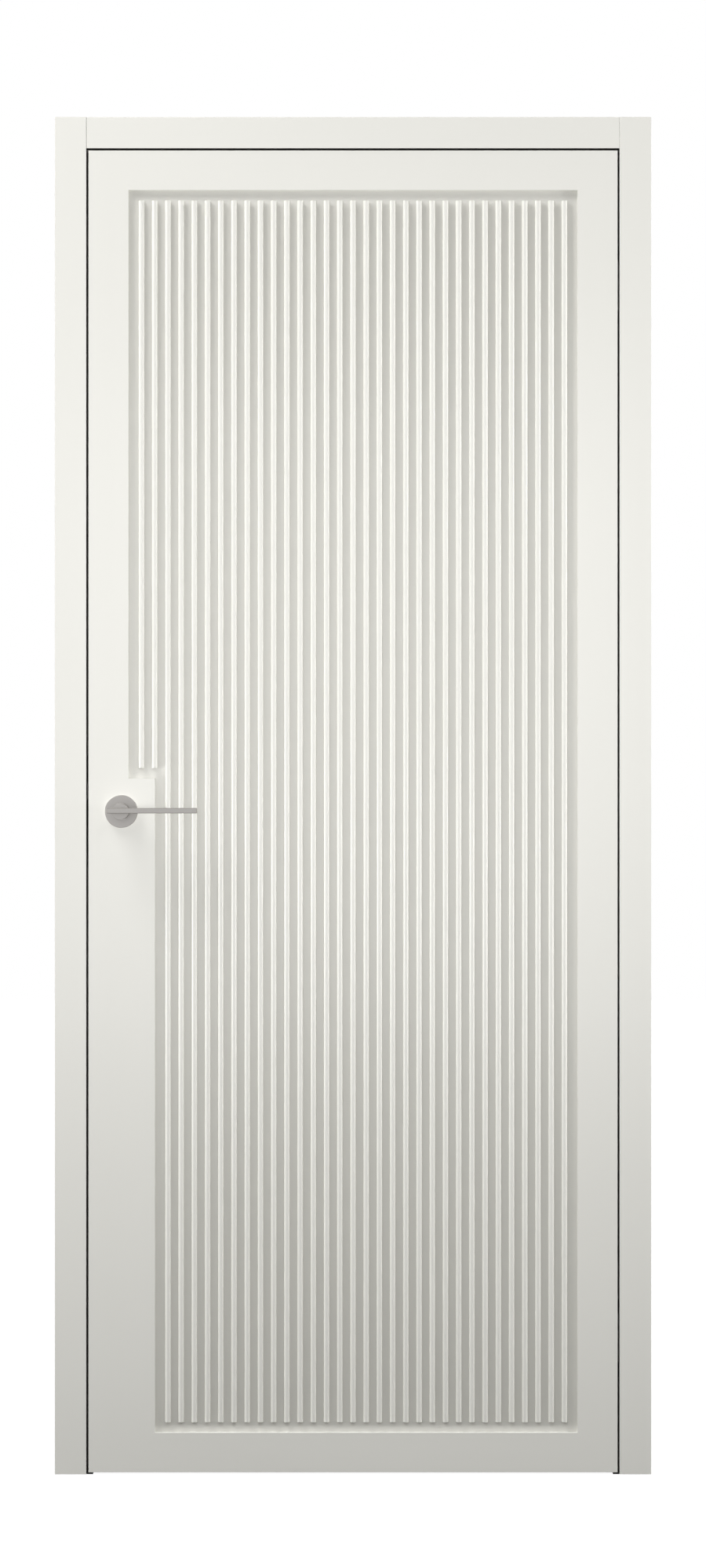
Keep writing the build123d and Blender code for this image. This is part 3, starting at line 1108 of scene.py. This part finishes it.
class DOOR_OT_handles(bpy.types.Operator):
    """Make the roses, necks and levers on both faces"""

    bl_idname = "door.handles"
    bl_label = "Lever handles"

    def execute(self, context):
        sizes = context.scene.door_handles
        for face, facing in (("front", -1), ("back", 1)):
            low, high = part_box("neck_" + face)
            radius = (high.x - low.x) / 2
            node = "rose_" + face
            rose = turned_mesh(node, radius + BORE_PLAY, sizes.rose_edge, facing, ROSE_TURNS)
            show_piece("rose_disc_" + face, rose, nickel_plate(), "leaf", "satin_nickel", node)
            node = "neck_" + face
            neck = turned_mesh(node, NECK_CORE * radius, sizes.neck_fillet, facing, NECK_TURNS)
            name = "handle_neck_" + face
            show_piece(name, neck, nickel_plate(), "handle", "satin_nickel", node)
            node = "lever_" + face
            name = "lever_bar_" + face
            bar = board_mesh(*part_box(node))
            lever = show_piece(name, bar, nickel_bar(), "handle", "satin_nickel", node)
            # The lever's bevels take the darker nickel, painted shade that outlines the bar
            soften(lever, sizes.lever_edge, finish=nickel_edge())
        dress_node("spindle", zinc())
        return {"FINISHED"}


class DOOR_OT_hardware(bpy.types.Operator):
    """Finish the latch, strike and concealed hinges, and add their screws"""

    bl_idname = "door.hardware"
    bl_label = "Latch and hinges"

    def execute(self, context):
        sizes = context.scene.door_screws
        tree = screw_tree()
        plates = [
            ("lock_forend", "leaf", -1.0, sizes.plate_radius, "satin_nickel", nickel_plate()),
            ("strike_plate", "frame", 1.0, sizes.plate_radius, "satin_nickel", nickel_plate()),
        ]
        for place in HINGE_PLACES:
            for body, facing in (("leaf", 1.0), ("frame", -1.0)):
                node = "hinge_case_" + body + "_" + place
                plates.append((node, body, facing, sizes.case_radius, "hinge_metal", zinc()))
        for node, body, facing, radius, slot, finish in plates:
            low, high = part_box(node)
            face_x = high.x if facing > 0 else low.x
            values = {
                "Count": SCREWS,
                "First Screw": (face_x, (low.y + high.y) / 2, low.z + sizes.end_inset),
                "Stride": (0.0, 0.0, high.z - low.z - 2 * sizes.end_inset),
                "Radius": radius,
                "Sink": sizes.sink,
                "Facing": facing,
                "Plate Finish": finish,
                "Screw Finish": finish,
            }
            mesh = run_tree(outward(frame["nodes"][node].data.copy()), tree, values)
            show_piece(node + "_screwed", outward(mesh), finish, body, slot, node)
        dress_node("latch_bolt", nickel_plate())
        dress_node("lock_case", zinc())
        for place in HINGE_PLACES:
            dress_node("hinge_arms_" + place, zinc())
        return {"FINISHED"}


class DOOR_OT_stage(bpy.types.Operator):
    """Make the pale floor, the lamps, the surroundings and the camera"""

    bl_idname = "door.stage"
    bl_label = "Studio"

    def execute(self, context):
        scene = context.scene
        scene.view_settings.view_transform = "Standard"
        self.make_floor(scene)
        self.make_surroundings(scene)
        left_out = self.leave_out_nickel(scene)
        for lamp in LAMPS:
            self.make_lamp(scene, left_out, *lamp)
        self.make_camera(scene)
        return {"FINISHED"}

    def seen(self, tree):
        """The light path, and whether the camera, metal or glass sees the place directly."""
        path = add_node(tree, "ShaderNodeLightPath").outputs
        metal = add_node(
            tree,
            "ShaderNodeMath",
            {0: path["Is Glossy Ray"], 1: path["Is Transmission Ray"]},
            operation="MAXIMUM",
        )
        seen = add_node(
            tree,
            "ShaderNodeMath",
            {0: path["Is Camera Ray"], 1: metal.outputs[0]},
            operation="MAXIMUM",
        )
        return path, seen.outputs[0]

    def make_floor(self, scene):
        """A wide floor that the camera sees as white, with only a light shadow on it."""
        shape = bmesh.new()
        bmesh.ops.create_grid(shape, x_segments=1, y_segments=1, size=FLOOR_HALF)
        mesh = close_mesh(shape, "studio_floor")
        material = bpy.data.materials.new("matt_studio_floor")
        tree = empty_tree(material)
        path, seen = self.seen(tree)
        # The lit floor shows through the white only near the door, where its shadow falls
        place = add_node(tree, "ShaderNodeTexCoord").outputs["Object"]
        away = add_node(tree, "ShaderNodeVectorMath", {0: place}, operation="LENGTH")
        cover = add_node(
            tree,
            "ShaderNodeMapRange",
            {
                "Value": away.outputs["Value"],
                "From Min": SHADOW_NEAR,
                "From Max": SHADOW_FAR,
                "To Min": SHADOW_COVER,
                "To Max": 1.0,
            },
            interpolation_type="SMOOTHSTEP",
        )
        colours = scene.door_colours
        colour = add_node(
            tree,
            "ShaderNodeMix",
            {
                "Factor": path["Is Camera Ray"],
                6: linear(colours.floor),
                7: linear(colours.floor_seen),
            },
            data_type="RGBA",
        )
        matt = add_node(tree, "ShaderNodeBsdfDiffuse", {"Color": colour.outputs[2]})
        white = add_node(tree, "ShaderNodeEmission", {"Strength": FLOOR_WHITE})
        share = add_node(
            tree, "ShaderNodeMath", {0: seen, 1: cover.outputs["Result"]}, operation="MULTIPLY"
        )
        mixed = add_node(
            tree,
            "ShaderNodeMixShader",
            {"Fac": share.outputs[0], 1: matt.outputs["BSDF"], 2: white.outputs["Emission"]},
        )
        add_node(tree, "ShaderNodeOutputMaterial", {"Surface": mixed.outputs["Shader"]})
        mesh.materials.append(material)
        floor = bpy.data.objects.new("studio_floor", mesh)
        floor.location = (DOOR_MID_X, 0.0, CAD_LOW.z)
        scene.collection.objects.link(floor)

    def make_surroundings(self, scene):
        """Soft light from all round, seen by the camera and by metal as white."""
        scene.world = bpy.data.worlds.new("studio")
        tree = empty_tree(scene.world)
        strength = add_node(
            tree,
            "ShaderNodeMapRange",
            {"Value": self.seen(tree)[1], "To Min": SKY_LEVEL, "To Max": 1.0},
        )
        light = add_node(
            tree,
            "ShaderNodeBackground",
            {"Color": (1.0, 1.0, 1.0, 1.0), "Strength": strength.outputs["Result"]},
        )
        add_node(tree, "ShaderNodeOutputWorld", {"Surface": light.outputs["Background"]})

    def leave_out_nickel(self, scene):
        """A collection of the nickel pieces that a lamp can leave out of its light or shadows."""
        left_out = bpy.data.collections.new("left_out_nickel")
        nickel = {nickel_plate(), nickel_bar()}
        for piece in scene.objects:
            if nickel & {held.material for held in piece.material_slots}:
                left_out.objects.link(piece)
        for entry in left_out.collection_objects:
            entry.light_linking.link_state = "EXCLUDE"
        return left_out

    def make_lamp(self, scene, left_out, name, place, aim, side, watts, lights, shaded):
        """One square soft lamp, which may spare the nickel its light or pass through it."""
        data = bpy.data.lights.new(name, "AREA")
        data.size = side
        data.energy = watts
        lamp = bpy.data.objects.new(name, data)
        lamp.location = place
        lamp.rotation_euler = (Vector(aim) - Vector(place)).to_track_quat("-Z", "Y").to_euler()
        lamp.visible_camera = False
        scene.collection.objects.link(lamp)
        if not lights:
            lamp.light_linking.receiver_collection = left_out
        if not shaded:
            lamp.light_linking.blocker_collection = left_out

    def make_camera(self, scene):
        """A long view, square on to the door, whose lens frames the picture height across the
        sensor's width, as for a 900 by 2000 picture.
        """
        view = scene.door_view
        data = bpy.data.cameras.new("camera")
        data.lens = data.sensor_width * view.distance / view.picture_height
        camera = bpy.data.objects.new("camera", data)
        camera.location = (DOOR_MID_X, SKIN_LOW.y - view.distance, view.eye_height)
        camera.rotation_euler = (math.pi / 2, 0.0, 0.0)
        scene.collection.objects.link(camera)
        scene.camera = camera


class DOOR_PT_sidebar(bpy.types.Panel):
    """The door's steps in the 3D view's sidebar"""

    bl_idname = "DOOR_PT_sidebar"
    bl_label = "Door"
    bl_space_type = "VIEW_3D"
    bl_region_type = "UI"
    bl_category = "Door"

    def draw(self, context):
        for step in STEPS:
            self.layout.operator(step.bl_idname)
        for group in GROUPS:
            settings = getattr(context.scene, group)
            box = self.layout.box()
            for key in settings.bl_rna.properties.keys():
                if key not in ("rna_type", "name"):
                    box.prop(settings, key)


STEPS = (
    DOOR_OT_leaf_panels,
    DOOR_OT_casings,
    DOOR_OT_lining,
    DOOR_OT_seals,
    DOOR_OT_handles,
    DOOR_OT_hardware,
    DOOR_OT_stage,
)
GROUPS = {
    "door_panel": DoorPanelSettings,
    "door_boards": DoorBoardSettings,
    "door_handles": DoorHandleSettings,
    "door_screws": DoorScrewSettings,
    "door_colours": DoorColourSettings,
    "door_view": DoorViewSettings,
}


def register():
    """Register the settings, the steps and the sidebar."""
    for name, group in GROUPS.items():
        bpy.utils.register_class(group)
        setattr(bpy.types.Scene, name, bpy.props.PointerProperty(type=group))
    for step in STEPS:
        bpy.utils.register_class(step)
    bpy.utils.register_class(DOOR_PT_sidebar)


def unregister():
    """Take back what register() added."""
    bpy.utils.unregister_class(DOOR_PT_sidebar)
    for step in reversed(STEPS):
        bpy.utils.unregister_class(step)
    for name, group in reversed(GROUPS.items()):
        delattr(bpy.types.Scene, name)
        bpy.utils.unregister_class(group)


def main():
    """Dress the door step by step."""
    register()
    bpy.ops.door.leaf_panels()
    bpy.ops.door.casings()
    bpy.ops.door.lining()
    bpy.ops.door.seals()
    bpy.ops.door.handles()
    bpy.ops.door.hardware()
    bpy.ops.door.stage()


if __name__ == "__main__":
    main()
